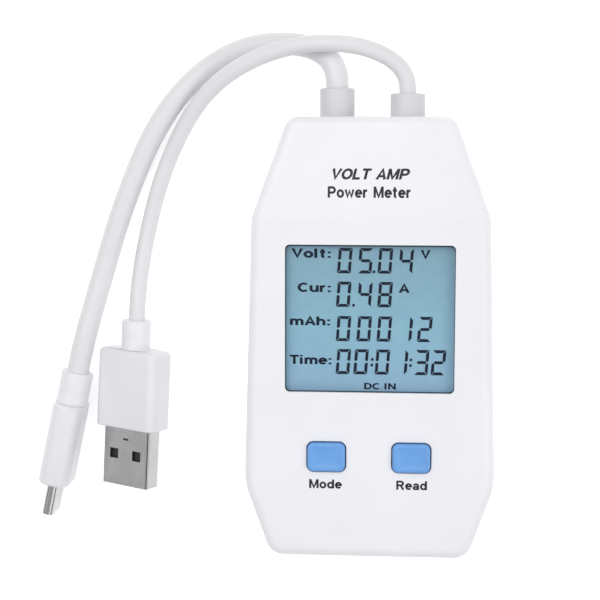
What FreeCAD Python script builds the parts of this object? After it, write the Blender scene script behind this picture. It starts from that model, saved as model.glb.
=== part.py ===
import FreeCAD, Part
import math
import os
import Sketcher

# Hand-held power meter with two captive leads, lying on its back.
# Frame: origin at the middle of the back, X across the case, Y towards the end that the
# leads leave, Z out of the display. Millimetres.

SIZES = {
    # case
    "case_length": 92.5, "case_height": 20.0, "part_line": 9.5, "wall": 2.0,
    "top_half": 17.2, "shoulder_half": 24.8, "waist_half": 26.3, "foot_half": 20.7,
    "shoulder_y": 25.4, "waist_y": -30.8, "ramp_drop": 1.5,
    "top_round": 3.2, "shoulder_round": 10.0, "waist_round": 14.0, "foot_round": 4.0,
    "front_round": 2.4, "back_round": 1.6, "seam_bevel": 0.25,
    # display
    "window_width": 35.2, "window_length": 30.8, "window_y": 4.55, "window_round": 1.0,
    "lip": 0.55, "lens_thick": 1.0, "lens_border": 0.8, "lens_gap": 0.1,
    "cell_width": 38.4, "cell_length": 37.0, "cell_thick": 1.9,
    "guide_width": 36.0, "guide_length": 31.6, "guide_thick": 2.4, "guide_gap": 0.1,
    "frame_wall": 1.2, "frame_gap": 0.4, "shelf_thick": 1.8, "frame_drop": 0.2,
    "strip_length": 34.0, "strip_thick": 1.6, "led_size": 1.0, "led_length": 3.0, "led_y": 8.0,
    # buttons and switches
    "button_x": 8.87, "button_y": -24.5, "button_width": 7.9, "button_length": 6.1,
    "button_top": 21.0, "button_gap": 0.25, "button_round": 1.3, "button_edge": 0.5,
    "flange": 0.9, "flange_thick": 1.0, "flange_play": 0.1,
    "switch_width": 6.0, "switch_body": 3.5, "stem_radius": 1.7, "stem_fit": 0.08,
    "stem_depth": 0.8, "press_travel": 0.3, "press_spare": 0.2,
    # board and what stands on it
    "board_top": 7.0, "board_thick": 1.6, "board_end": 41.5, "board_inset": 2.5,
    "chip_width": 10.0, "chip_thick": 1.4, "can_radius": 3.15, "can_height": 5.4, "can_x": 14.0,
    "can_y": 28.5, "shunt_width": 3.2, "shunt_length": 6.4, "shunt_thick": 0.8, "shunt_x": 1.5,
    "chip_part_length": 2.0, "chip_part_width": 1.25, "chip_part_height": 0.6,
    # cover screws
    "screw_top_x": 14.2, "screw_top_y": 37.5, "screw_foot_x": 18.2, "screw_foot_y": -38.5,
    "boss_radius": 2.5, "screw_radius": 0.95, "screw_hole": 1.2, "pilot_hole": 1.0,
    "sink": 0.9, "screw_end": 13.0, "pilot_end": 14.5, "head_radius": 1.95, "head_start": 0.1,
    "head_thick": 1.0, "cross_length": 2.2, "cross_width": 0.5, "cross_depth": 0.6,
    # outlets at the foot end
    "outlet_inset": 0.3, "outlet_slack": 0.2, "shell_thick": 0.35,
    "outlet_a_x": -8.0, "outlet_a_width": 13.1, "outlet_a_height": 5.7, "outlet_a_depth": 14.0,
    "tongue_a_width": 11.1, "tongue_a_thick": 1.84, "tongue_a_reach": 8.4,
    "outlet_c_x": 9.0, "outlet_c_width": 8.94, "outlet_c_height": 3.26, "outlet_c_depth": 7.35,
    "tongue_c_width": 6.69, "tongue_c_thick": 0.7, "tongue_c_reach": 4.45,
    # leads
    "gland_x": 7.4, "gland_radius": 3.65, "gland_c_reach": 5.95, "gland_a_reach": 4.85,
    "gland_edge": 0.35, "collar_radius": 4.7, "collar_thick": 2.0,
    "cord_c_diameter": 4.8, "cord_a_diameter": 3.6, "tail_length": 5.0, "core_diameter": 0.9,
    "core_pitch": 1.0, "core_run": 3.0,
    # plug on the thick lead
    "plug_c_neck": 7.0, "plug_c_neck_radius": 3.5, "plug_c_width": 12.0, "plug_c_thick": 6.8,
    "plug_c_length": 18.2, "plug_c_round": 3.0, "plug_c_edge": 0.8,
    "shell_c_width": 8.34, "shell_c_height": 2.56, "shell_c_reach": 6.8, "shell_c_thick": 0.25,
    "insert_c_wall": 0.45, "insert_c_base": 1.0,
    # plug on the thin lead
    "plug_a_neck": 6.4, "plug_a_neck_radius": 3.2, "plug_a_width": 15.4, "plug_a_thick": 7.8,
    "plug_a_length": 17.3, "plug_a_round": 1.9, "plug_a_edge": 0.9,
    "shell_a_width": 12.0, "shell_a_height": 4.5, "shell_a_reach": 12.9, "shell_a_thick": 0.3,
    "shell_a_round": 0.6, "latch_size": 2.2, "latch_x": 3.0, "latch_z": 6.0,
    "insert_a_thick": 1.9, "insert_a_short": 0.4, "contact_thick": 0.15,
}

# Share of an inset by which the end corners of the outline move sideways.
SLANT = 0.7
# Tilt of the thin lead's plug about its own length, from lying flat, in degrees.
PLUG_A_TILT = 26.0
# A bend of a cord takes up this share of the shorter run beside it.
BEND_SHARE = 0.45

# Routes of the free cords, from the gland's mouth to the plug's neck.
CORD_C_ROUTE = [
    (-7.4, 52.2, 9.5), (-7.4, 54.8, 9.5), (-8.5, 57.7, 8.7), (-10.9, 60.0, 7.3),
    (-14.6, 61.4, 5.7), (-19.3, 61.9, 4.4), (-25.0, 61.6, 3.4), (-31.6, 59.4, 2.7),
    (-37.8, 55.3, 2.4), (-43.2, 49.8, 2.4), (-47.9, 42.7, 2.4), (-52.2, 33.2, 2.4),
    (-56.1, 22.6, 2.4), (-59.2, 12.1, 2.7), (-61.7, 2.8, 4.5), (-63.5, -4.6, 6.0),
    (-64.5, -9.4, 6.0),
]
CORD_A_ROUTE = [
    (7.4, 51.1, 9.5), (7.4, 53.5, 9.5), (6.3, 56.0, 10.0), (4.1, 58.1, 10.8),
    (1.0, 59.7, 11.6), (-3.0, 60.9, 12.2), (-7.8, 61.5, 12.4), (-13.1, 61.4, 12.0),
    (-19.1, 60.4, 11.0), (-25.3, 58.3, 9.2), (-31.5, 54.9, 7.2), (-36.7, 50.3, 5.2),
    (-40.8, 44.5, 3.4), (-44.2, 37.9, 2.2), (-47.0, 30.6, 1.8), (-49.1, 22.2, 2.2),
    (-50.4, 14.0, 4.3), (-50.95, 7.0, 6.3), (-51.2, 2.2, 6.3),
]

document = FreeCAD.newDocument("power_meter")
sheet = document.addObject("Spreadsheet::Sheet", "dim")
nodes = []


def fill_sheet():
    """Write each driving dimension to its own cell and name the cell."""
    for row, (alias, number) in enumerate(SIZES.items(), start=1):
        sheet.set(f"A{row}", alias)
        sheet.set(f"B{row}", str(number))
        sheet.setAlias(f"B{row}", alias)
    document.recompute()


def size(expression):
    """The number that an expression of sheet values comes to."""
    result = sheet.evalExpression(expression)
    return float(getattr(result, "Value", result))


def vector(x, y, z=0.0):
    return FreeCAD.Vector(x, y, z)


# --- Part primitives and booleans ---------------------------------------------------------

def place(item, x, y, z):
    for axis, expression in zip("xyz", (x, y, z)):
        item.setExpression("Placement.Base." + axis, expression)
    return item


def box(name, width, length, height, x="0", y="0", z="0"):
    """A box centred on x and y that stands on z."""
    item = document.addObject("Part::Box", name)
    item.setExpression("Length", width)
    item.setExpression("Width", length)
    item.setExpression("Height", height)
    return place(item, f"{x} - ({width}) / 2", f"{y} - ({length}) / 2", z)


def cylinder(name, radius, height, x="0", y="0", z="0"):
    item = document.addObject("Part::Cylinder", name)
    item.setExpression("Radius", radius)
    item.setExpression("Height", height)
    return place(item, x, y, z)


def cylinder_along_y(name, radius, height, x, y, z):
    item = cylinder(name, radius, height, x, y, z)
    item.Placement.Rotation = FreeCAD.Rotation(vector(1, 0, 0), -90)
    return item


def cut(name, base, *tools):
    for number, tool in enumerate(tools, start=1):
        last = number == len(tools)
        item = document.addObject("Part::Cut", name if last else f"{name}_step{number}")
        item.Base = base
        item.Tool = tool
        base = item
    return base


def fuse(name, *pieces):
    item = document.addObject("Part::MultiFuse", name)
    item.Shapes = list(pieces)
    return item


def group(name, pieces):
    """Separate solids that share one node."""
    item = document.addObject("Part::Compound", name)
    item.Links = list(pieces)
    return item


def keep(item, node):
    """Make an object a sub-part that is written to its own file."""
    item.Label = node
    nodes.append(item)
    return item


# --- PartDesign bodies --------------------------------------------------------------------

def new_body(node):
    return keep(document.addObject("PartDesign::Body", node), node)


def sketch_on(body, name, role="XY_Plane", offset="0"):
    """A sketch on one of the body's own planes, moved along the plane's normal."""
    plane = next(item for item in body.Origin.OriginFeatures if item.Role == role)
    sketch = body.newObject("Sketcher::SketchObject", name)
    sketch.AttachmentSupport = [(plane, "")]
    sketch.MapMode = "FlatFace"
    sketch.setExpression("AttachmentOffset.Base.z", offset)
    return sketch


def drive(sketch, kind, line, point, expression):
    """Bind a point's distance from the sketch's origin to the sheet."""
    rule = Sketcher.Constraint(kind, -1, 1, line, point, size(expression))
    number = sketch.addConstraint(rule)
    sketch.setExpression(f"Constraints[{number}]", expression)


def polygon(sketch, corners):
    """A closed outline through corners given as pairs of expressions."""
    points = [vector(size(x), size(y)) for x, y in corners]
    first = sketch.GeometryCount
    for start, end in zip(points, points[1:] + points[:1]):
        sketch.addGeometry(Part.LineSegment(start, end), False)
    for index, (x, y) in enumerate(corners):
        line = first + index
        following = first + (index + 1) % len(corners)
        sketch.addConstraint(Sketcher.Constraint("Coincident", line, 2, following, 1))
        drive(sketch, "DistanceX", line, 1, x)
        drive(sketch, "DistanceY", line, 1, y)


def rectangle(sketch, width, height, x="0", y="0"):
    left, right = f"{x} - ({width}) / 2", f"{x} + ({width}) / 2"
    low, high = f"{y} - ({height}) / 2", f"{y} + ({height}) / 2"
    polygon(sketch, [(left, low), (right, low), (right, high), (left, high)])


def circle(sketch, radius, x=None, y=None):
    """A circle at x, y, or on the sketch's origin."""
    centre = vector(size(x), size(y)) if x else vector(0, 0)
    disc = sketch.addGeometry(Part.Circle(centre, vector(0, 0, 1), size(radius)), False)
    if x:
        drive(sketch, "DistanceX", disc, 3, x)
        drive(sketch, "DistanceY", disc, 3, y)
    else:
        sketch.addConstraint(Sketcher.Constraint("Coincident", disc, 3, -1, 1))
    number = sketch.addConstraint(Sketcher.Constraint("Radius", disc, size(radius)))
    sketch.setExpression(f"Constraints[{number}]", radius)


def slot(sketch, width, height):
    """A stadium outline centred on the origin, with its length along X."""
    radius = size(height) / 2
    reach = size(width) / 2 - radius
    up, down = vector(0, radius), vector(0, -radius)
    right, left = vector(reach, 0), vector(-reach, 0)
    outline = [
        Part.LineSegment(left + down, right + down),
        Part.Arc(right + down, right + vector(radius, 0), right + up),
        Part.LineSegment(right + up, left + up),
        Part.Arc(left + up, left - vector(radius, 0), left + down),
    ]
    first = sketch.GeometryCount
    for curve in outline:
        sketch.addGeometry(curve, False)
    for line, arc in ((0, 1), (2, 3)):
        straight, bend, back = first + line, first + arc, first + (line + 2) % 4
        sketch.addConstraint(Sketcher.Constraint("Tangent", straight, 2, bend, 1))
        sketch.addConstraint(Sketcher.Constraint("Tangent", bend, 2, back, 1))
    drive(sketch, "DistanceX", first, 1, f"-(({width}) - ({height})) / 2")
    drive(sketch, "DistanceX", first, 2, f"(({width}) - ({height})) / 2")
    drive(sketch, "DistanceY", first, 1, f"-({height}) / 2")
    drive(sketch, "DistanceY", first + 2, 1, f"({height}) / 2")


def pad(body, sketch, length, reverse=False):
    feature = body.newObject("PartDesign::Pad", "Pad")
    feature.Profile = sketch
    feature.setExpression("Length", length)
    feature.Reversed = reverse
    document.recompute()
    return feature


def pocket(body, sketch, length, reverse=False, both_ways=False):
    """Cut a sketch's outline away, and make sure that it did cut."""
    before = body.Shape.Volume
    feature = body.newObject("PartDesign::Pocket", "Pocket")
    feature.Profile = sketch
    feature.setExpression("Length", length)
    feature.Reversed = reverse
    feature.Midplane = both_ways
    document.recompute()
    if not body.Shape.Volume < before:
        raise RuntimeError(f"{body.Label}: {sketch.Label} cut nothing")
    return feature


def dress(body, kind, property_name, amount, wanted):
    """Fillet or chamfer the edges of the body so far for which wanted() is true."""
    base = body.Tip
    edges = [f"Edge{number}" for number, edge in enumerate(base.Shape.Edges, start=1)
             if wanted(edge)]
    if not edges:
        raise RuntimeError(f"{body.Label}: no edges to dress")
    feature = body.newObject(f"PartDesign::{kind}", kind)
    feature.Base = (base, edges)
    feature.setExpression(property_name, amount)
    document.recompute()
    return feature


def round_edges(body, radius, wanted):
    return dress(body, "Fillet", "Radius", radius, wanted)


def bevel_edges(body, amount, wanted):
    return dress(body, "Chamfer", "Size", amount, wanted)


def ends(edge):
    return [vertex.Point for vertex in edge.Vertexes]


def is_upright(edge):
    tall = edge.BoundBox
    return tall.ZLength > 0.1 and tall.XLength < 0.01 and tall.YLength < 0.01


def is_level_at(edge, z):
    box_of_edge = edge.BoundBox
    return abs(box_of_edge.ZMin - z) < 0.01 and abs(box_of_edge.ZMax - z) < 0.01


def stands_on(edge, x, y):
    """Whether an upright edge stands on the point x, y or on its mirror image."""
    middle = edge.CenterOfMass
    return abs(abs(middle.x) - x) < 0.01 and abs(middle.y - y) < 0.01


# --- the case -----------------------------------------------------------------------------

def right_side(inset):
    """Corners of the case's right side from top to foot, moved in by inset."""
    return [
        (f"dim.top_half - {SLANT} * ({inset})", f"dim.case_length / 2 - ({inset})"),
        (f"dim.shoulder_half - ({inset})", "dim.shoulder_y"),
        (f"dim.waist_half - ({inset})", "dim.waist_y"),
        (f"dim.foot_half - {SLANT} * ({inset})", f"({inset}) - dim.case_length / 2"),
    ]


def with_mirror(corners):
    return corners + [(f"-({x})", y) for x, y in reversed(corners)]


def screw_places():
    return [(f"{side} * dim.screw_{end}_x", f"dim.screw_{end}_y")
            for end in ("top", "foot") for side in ("1", "-1")]


def case_block(body, start, height):
    """The solid octagon that a cover is cut from, with its upright corners rounded."""
    outline = sketch_on(body, body.Label + "_outline", offset=start)
    polygon(outline, with_mirror(right_side("0")))
    pad(body, outline, height)
    names = ("top", "shoulder", "waist", "foot")
    for name, (x, y) in zip(names, right_side("0")):
        corner_x, corner_y = size(x), size(y)
        round_edges(body, f"dim.{name}_round",
                    lambda edge: is_upright(edge) and stands_on(edge, corner_x, corner_y))


def cut_outlets(body):
    """Openings for the glands in the top wall and for the sockets in the foot wall."""
    glands = sketch_on(body, body.Label + "_gland_holes", "XZ_Plane",
                       "2 * dim.wall - dim.case_length / 2")
    for side in ("1", "-1"):
        circle(glands, "dim.gland_radius", f"{side} * dim.gland_x", "dim.part_line")
    pocket(body, glands, "3 * dim.wall")
    sockets = sketch_on(body, body.Label + "_socket_holes", "XZ_Plane",
                        "dim.case_length / 2 + dim.wall")
    for kind in ("a", "c"):
        height = f"dim.outlet_{kind}_height"
        rectangle(sockets, f"dim.outlet_{kind}_width + 2 * dim.outlet_slack",
                  f"{height} + 2 * dim.outlet_slack", f"dim.outlet_{kind}_x",
                  f"(dim.board_top + {height} / 2)")
    pocket(body, sockets, "3.5 * dim.wall")


def rear_cover():
    body = new_body("rear_cover")
    case_block(body, "0", "dim.part_line")
    round_edges(body, "dim.back_round", lambda edge: is_level_at(edge, 0))
    bevel_edges(body, "dim.seam_bevel", lambda edge: is_level_at(edge, size("dim.part_line")))
    hollow = sketch_on(body, "rear_hollow", offset="dim.part_line")
    polygon(hollow, with_mirror(right_side("dim.wall")))
    pocket(body, hollow, "dim.part_line - dim.wall")
    bosses = sketch_on(body, "rear_bosses", offset="dim.wall")
    for x, y in screw_places():
        circle(bosses, "dim.boss_radius", x, y)
    pad(body, bosses, "dim.board_top - dim.board_thick - dim.wall")
    holes = sketch_on(body, "rear_screw_holes", offset="dim.board_top")
    for x, y in screw_places():
        circle(holes, "dim.screw_hole", x, y)
    pocket(body, holes, "dim.board_top")
    rim = size("dim.screw_hole")
    bevel_edges(body, "dim.sink",
                lambda edge: is_level_at(edge, 0) and abs(edge.BoundBox.XLength - 2 * rim) < 0.05)
    cut_outlets(body)


def slope_front(body):
    """Lower the front face from the shoulders to the top end."""
    high = "dim.case_height + dim.wall"
    beyond = "dim.case_length / 2 + dim.wall"
    slope = "dim.ramp_drop / (dim.case_length / 2 - dim.shoulder_y)"
    low = f"dim.case_height - {slope} * ({beyond} - dim.shoulder_y)"
    side = sketch_on(body, "front_slope", "YZ_Plane")
    polygon(side, [("dim.shoulder_y", "dim.case_height"), (beyond, low), (beyond, high),
                   ("dim.shoulder_y", high)])
    pocket(body, side, "2 * dim.case_length", both_ways=True)


def is_front_rim(edge):
    """Whether an edge runs round the outside of the front face, the slope included."""
    low_limit = size("dim.case_height - dim.ramp_drop") - 0.1
    crease = all(abs(point.y - size("dim.shoulder_y")) < 0.01 for point in ends(edge))
    return edge.BoundBox.ZMin > low_limit and not crease


def front_cover():
    body = new_body("front_cover")
    case_block(body, "dim.part_line", "dim.case_height - dim.part_line")
    slope_front(body)
    round_edges(body, "dim.front_round", is_front_rim)
    bevel_edges(body, "dim.seam_bevel", lambda edge: is_level_at(edge, size("dim.part_line")))
    hollow = sketch_on(body, "front_hollow", offset="dim.part_line")
    polygon(hollow, with_mirror(right_side("dim.wall")))
    pocket(body, hollow, "dim.case_height - dim.part_line - dim.wall - dim.ramp_drop",
           reverse=True)
    deep = sketch_on(body, "front_deep_hollow", offset="dim.part_line")
    polygon(deep, with_mirror(right_side("dim.wall")[1:]))
    pocket(body, deep, "dim.case_height - dim.part_line - dim.wall", reverse=True)
    cut_front_openings(body)
    bosses = sketch_on(body, "front_bosses", offset="dim.board_top")
    for x, y in screw_places():
        circle(bosses, "dim.boss_radius", x, y)
    pad(body, bosses, "dim.case_height - dim.wall - dim.board_top + 0.2")
    pilots = sketch_on(body, "front_pilot_holes", offset="dim.board_top")
    for x, y in screw_places():
        circle(pilots, "dim.pilot_hole", x, y)
    pocket(body, pilots, "dim.pilot_end - dim.board_top", reverse=True)
    cut_outlets(body)


def cut_front_openings(body):
    """The display opening with the seat of its lens, and the two button holes."""
    window = sketch_on(body, "window_opening", offset="dim.case_height")
    rectangle(window, "dim.window_width", "dim.window_length", y="dim.window_y")
    pocket(body, window, "1.5 * dim.wall")
    half_width = size("dim.window_width / 2")
    round_edges(body, "dim.window_round", lambda edge: is_upright(edge)
                and abs(abs(edge.CenterOfMass.x) - half_width) < 0.01)
    seat = sketch_on(body, "lens_seat", offset="dim.case_height - dim.wall")
    rectangle(seat, "dim.window_width + 2 * (dim.lens_border + dim.lens_gap)",
              "dim.window_length + 2 * (dim.lens_border + dim.lens_gap)", y="dim.window_y")
    pocket(body, seat, "dim.wall - dim.lip", reverse=True)
    buttons = sketch_on(body, "button_holes", offset="dim.case_height")
    for side in ("1", "-1"):
        rectangle(buttons, "dim.button_width + 2 * dim.button_gap",
                  "dim.button_length + 2 * dim.button_gap", f"{side} * dim.button_x",
                  "dim.button_y")
    pocket(body, buttons, "1.5 * dim.wall")
    upper = size("dim.button_y + dim.button_length / 2 + dim.button_gap")
    lower = size("dim.button_y - dim.button_length / 2 - dim.button_gap")
    round_edges(body, "dim.button_round + dim.button_gap", lambda edge: is_upright(edge)
                and min(abs(edge.CenterOfMass.y - upper), abs(edge.CenterOfMass.y - lower)) < 0.01)


def cover_screws():
    """Four countersunk screws with a cross recess, driven from the back."""
    screws = []
    for number, (x, y) in enumerate(screw_places(), start=1):
        shank = cylinder(f"shank{number}", "dim.screw_radius", "dim.screw_end - dim.head_start",
                         x, y, "dim.head_start")
        head = document.addObject("Part::Cone", f"head{number}")
        head.setExpression("Radius1", "dim.head_radius")
        head.setExpression("Radius2", "dim.head_radius - dim.head_thick")
        head.setExpression("Height", "dim.head_thick")
        place(head, x, y, "dim.head_start")
        screw = fuse(f"screw{number}", shank, head)
        bars = [box(f"recess{number}{way}", width, length, "dim.cross_depth", x, y,
                    "dim.head_start")
                for way, width, length in (("x", "dim.cross_length", "dim.cross_width"),
                                           ("y", "dim.cross_width", "dim.cross_length"))]
        screws.append(cut(f"cut_screw{number}", screw, *bars))
    keep(group("cover_screws", screws), "cover_screws")


# --- the display --------------------------------------------------------------------------

def display():
    lens = new_body("display_window")
    face = sketch_on(lens, "lens_face", offset="dim.case_height - dim.lip - dim.lens_thick")
    rectangle(face, "dim.window_width + 2 * dim.lens_border",
              "dim.window_length + 2 * dim.lens_border", y="dim.window_y")
    pad(lens, face, "dim.lens_thick")
    cell_low = "dim.case_height - dim.wall - dim.cell_thick"
    keep(box("lcd_glass", "dim.cell_width", "dim.cell_length", "dim.cell_thick",
             y="dim.window_y", z=cell_low), "lcd_glass")
    guide_low = f"{cell_low} - dim.guide_gap - dim.guide_thick"
    keep(box("backlight_guide", "dim.guide_width", "dim.guide_length", "dim.guide_thick",
             y="dim.window_y", z=guide_low), "backlight_guide")
    leds = [box(f"led{number}", "dim.led_size", "dim.led_length", "dim.led_size",
                f"{side} * (dim.guide_width + dim.led_size) / 2", f"dim.window_y + {row} * dim.led_y",
                f"{guide_low} + (dim.guide_thick - dim.led_size) / 2")
            for number, (side, row) in enumerate([("1", "1"), ("1", "-1"), ("-1", "1"), ("-1", "-1")])]
    keep(group("backlight_leds", leds), "backlight_leds")
    strips = [box(f"strip{number}", "dim.strip_length", "dim.strip_thick",
                  f"{cell_low} - dim.board_top",
                  y=f"dim.window_y + {side} * (dim.cell_length - dim.strip_thick) / 2",
                  z="dim.board_top")
              for number, side in enumerate(("1", "-1"))]
    keep(group("elastomer_strips", strips), "elastomer_strips")
    lcd_frame(guide_low)


def lcd_frame(shelf_top):
    """A rectangular collar round the cell, with a shelf that carries the light guide."""
    inner_width = "dim.cell_width + dim.frame_gap"
    inner_length = "dim.cell_length + dim.frame_gap"
    top = "dim.case_height - dim.wall - dim.frame_drop"
    body = new_body("lcd_frame")
    collar = sketch_on(body, "collar_outline", offset="dim.board_top")
    rectangle(collar, f"{inner_width} + 2 * dim.frame_wall", f"{inner_length} + 2 * dim.frame_wall",
              y="dim.window_y")
    rectangle(collar, inner_width, inner_length, y="dim.window_y")
    pad(body, collar, f"{top} - dim.board_top")
    shelf = sketch_on(body, "shelf_outline", offset=f"{shelf_top} - dim.shelf_thick")
    rectangle(shelf, f"{inner_width} + dim.frame_wall", "dim.guide_length", y="dim.window_y")
    pad(body, shelf, "dim.shelf_thick")


# --- the board ----------------------------------------------------------------------------

def circuit_board():
    body = new_body("circuit_board")
    outline = sketch_on(body, "board_outline", offset="dim.board_top - dim.board_thick")
    corners = right_side("dim.board_inset")
    corners[0] = ("dim.top_half - 1", "dim.board_end")
    polygon(outline, with_mirror(corners))
    for x, y in screw_places():
        circle(outline, "dim.screw_hole", x, y)
    pad(body, outline, "dim.board_thick")


def board_parts():
    chips = (
        ("controller_chip", "dim.chip_width", "dim.chip_width", "dim.chip_thick", "0", "dim.window_y"),
        ("regulator_chip", "6.5", "3.5", "1.6", "1", "29.5"),
        ("crystal", "5", "3.2", "1", "9", "11"),
    )
    for node, width, length, height, x, y in chips:
        keep(box(node, width, length, height, x, y, "dim.board_top"), node)
    shunts = [box(f"shunt{number}", "dim.shunt_width", "dim.shunt_length", "dim.shunt_thick",
                  "dim.shunt_x", y, "dim.board_top") for number, y in enumerate(("-38", "-30.5"))]
    keep(group("current_shunts", shunts), "current_shunts")
    cans = [cylinder(f"can{number}", "dim.can_radius", "dim.can_height", f"{side} * dim.can_x",
                     "dim.can_y", "dim.board_top") for number, side in enumerate(("1", "-1"))]
    keep(group("bulk_capacitors", cans), "bulk_capacitors")
    small = []
    for row, y in enumerate(("-6", "-3", "13", "16")):
        for column, x in enumerate(("-12", "-8", "-4")):
            small.append(box(f"small{row}{column}", "dim.chip_part_length", "dim.chip_part_width",
                             "dim.chip_part_height", x, y, "dim.board_top"))
    keep(group("chip_parts", small), "chip_parts")


# --- buttons and switches -----------------------------------------------------------------

def press_key(name, side):
    """A cap with the stem and the housing of the switch under it."""
    x = f"{side} * dim.button_x"
    flange_top = "dim.case_height - dim.wall - dim.flange_play"
    cap_low = f"{flange_top} - dim.flange_thick"
    cap = new_body(name + "_button")
    flange = sketch_on(cap, name + "_flange", offset=cap_low)
    rectangle(flange, "dim.button_width + 2 * dim.flange", "dim.button_length + 2 * dim.flange",
              x, "dim.button_y")
    pad(cap, flange, "dim.flange_thick")
    crown = sketch_on(cap, name + "_crown", offset=cap_low)
    rectangle(crown, "dim.button_width", "dim.button_length", x, "dim.button_y")
    pad(cap, crown, f"dim.button_top - ({cap_low})")
    flange_z = size(flange_top)
    round_edges(cap, "dim.button_round",
                lambda edge: is_upright(edge) and edge.BoundBox.ZMax > flange_z + 1)
    top = size("dim.button_top")
    round_edges(cap, "dim.button_edge", lambda edge: is_level_at(edge, top))
    stem_low = "dim.board_top + dim.switch_body - dim.stem_depth"
    keep(cylinder(name + "_switch_plunger", "dim.stem_radius", f"{cap_low} - ({stem_low})", x,
                  "dim.button_y", stem_low), name + "_switch_plunger")
    block = box(name + "_block", "dim.switch_width", "dim.switch_width", "dim.switch_body", x,
                "dim.button_y", "dim.board_top")
    well = cylinder(name + "_well", "dim.stem_radius + dim.stem_fit", "dim.switch_body", x,
                    "dim.button_y", f"{stem_low} - dim.press_travel - dim.press_spare")
    keep(cut(name + "_switch_body", block, well), name + "_switch_body")


# --- sockets at the foot end --------------------------------------------------------------

def wide_socket():
    """The rectangular outlet: a folded steel shell, a tongue and four contacts."""
    mouth = "dim.outlet_inset - dim.case_length / 2"
    x, low = "dim.outlet_a_x", "dim.board_top"
    width, height, depth = "dim.outlet_a_width", "dim.outlet_a_height", "dim.outlet_a_depth"
    middle = f"{mouth} + {depth} / 2"
    skin = "dim.shell_thick"
    outer = box("outlet_a_outer", width, depth, height, x, middle, low)
    inner = box("outlet_a_inner", f"{width} - 2 * {skin}", depth, f"{height} - 2 * {skin}", x,
                f"{middle} - {skin}", f"{low} + {skin}")
    keep(cut("socket_a_shell", outer, inner), "socket_a_shell")
    back_length = "4"
    back_y = f"{mouth} + {depth} - {skin} - {back_length} / 2"
    back = box("outlet_a_back", f"{width} - 2 * {skin}", back_length, f"{height} - 2 * {skin}", x,
               back_y, f"{low} + {skin}")
    tongue_y = f"{back_y} - {back_length} / 2 - dim.tongue_a_reach / 2"
    tongue_low = f"{low} + {height} - {skin} - dim.tongue_a_thick - 0.4"
    tongue = box("outlet_a_bar", "dim.tongue_a_width", "dim.tongue_a_reach", "dim.tongue_a_thick",
                 x, tongue_y, tongue_low)
    keep(fuse("socket_a_tongue", back, tongue), "socket_a_tongue")
    contacts = [box(f"outlet_a_contact{number}", "1", "dim.tongue_a_reach - 1",
                    "dim.contact_thick", f"{x} + {offset}", tongue_y,
                    f"{tongue_low} - dim.contact_thick")
                for number, offset in enumerate(("-3.5", "-1", "1", "3.5"))]
    keep(group("socket_a_contacts", contacts), "socket_a_contacts")


def narrow_socket():
    """The oval outlet: a drawn steel shell, a tongue and its contacts on both sides."""
    mouth = "dim.outlet_inset - dim.case_length / 2"
    width, height, depth = "dim.outlet_c_width", "dim.outlet_c_height", "dim.outlet_c_depth"
    middle_z = f"dim.board_top + {height} / 2"
    skin = "dim.shell_thick"
    # The bodies lie in their own frame, with Z into the case, and are turned to stand in place.
    turn = FreeCAD.Rotation(vector(1, 0, 0), -90)
    shell = new_body("socket_c_shell")
    outline = sketch_on(shell, "socket_c_outline")
    slot(outline, width, height)
    pad(shell, outline, depth)
    opening = sketch_on(shell, "socket_c_opening")
    slot(opening, f"{width} - 2 * {skin}", f"{height} - 2 * {skin}")
    pocket(shell, opening, f"{depth} - {skin}", reverse=True)
    core = new_body("socket_c_tongue")
    base_length = "1.5"
    base = sketch_on(core, "socket_c_base", offset=f"{depth} - {skin} - {base_length}")
    slot(base, f"{width} - 2 * {skin}", f"{height} - 2 * {skin}")
    pad(core, base, base_length)
    bar = sketch_on(core, "socket_c_bar", offset=f"{depth} - {skin} - {base_length}")
    rectangle(bar, "dim.tongue_c_width", "dim.tongue_c_thick")
    pad(core, bar, "dim.tongue_c_reach", reverse=True)
    for body in (shell, core):
        body.Placement.Rotation = turn
        place(body, "dim.outlet_c_x", mouth, middle_z)
    tongue_y = f"{mouth} + {depth} - {skin} - {base_length} - dim.tongue_c_reach / 2"
    contacts = []
    for column in range(8):
        for row, z in enumerate((f"{middle_z} + dim.tongue_c_thick / 2",
                                 f"{middle_z} - dim.tongue_c_thick / 2 - 0.1")):
            contacts.append(box(f"outlet_c_contact{row}{column}", "0.3", "dim.tongue_c_reach - 0.6",
                                "0.1", f"dim.outlet_c_x + {0.7 * (column - 3.5)}", tongue_y, z))
    keep(group("socket_c_contacts", contacts), "socket_c_contacts")


# --- leads --------------------------------------------------------------------------------

def tube_path(route):
    """Straight runs joined by tangent arcs, and the radii of the arcs."""
    points = [vector(*point) for point in route]
    edges, radii, start = [], [], points[0]
    for before, corner, after in zip(points, points[1:], points[2:]):
        arriving, leaving = corner - before, after - corner
        share = BEND_SHARE * min(arriving.Length, leaving.Length)
        half_turn = arriving.getAngle(leaving) / 2
        radius = share / math.tan(half_turn)
        arriving.normalize()
        leaving.normalize()
        inward = (leaving - arriving).normalize()
        first, last = corner - arriving * share, corner + leaving * share
        centre = corner + inward * (radius / math.cos(half_turn))
        edges.append(Part.LineSegment(start, first).toShape())
        edges.append(Part.Arc(first, centre - inward * radius, last).toShape())
        radii.append(radius)
        start = last
    edges.append(Part.LineSegment(start, points[-1]).toShape())
    return Part.Wire(edges), radii


def tube(route, diameter):
    """A solid tube along a route."""
    path, radii = tube_path(route)
    start, following = vector(*route[0]), vector(*route[1])
    ring = Part.Wire([Part.makeCircle(diameter / 2, start, following - start)])
    return path.makePipeShell([ring], True, False), path.Length, radii


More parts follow.
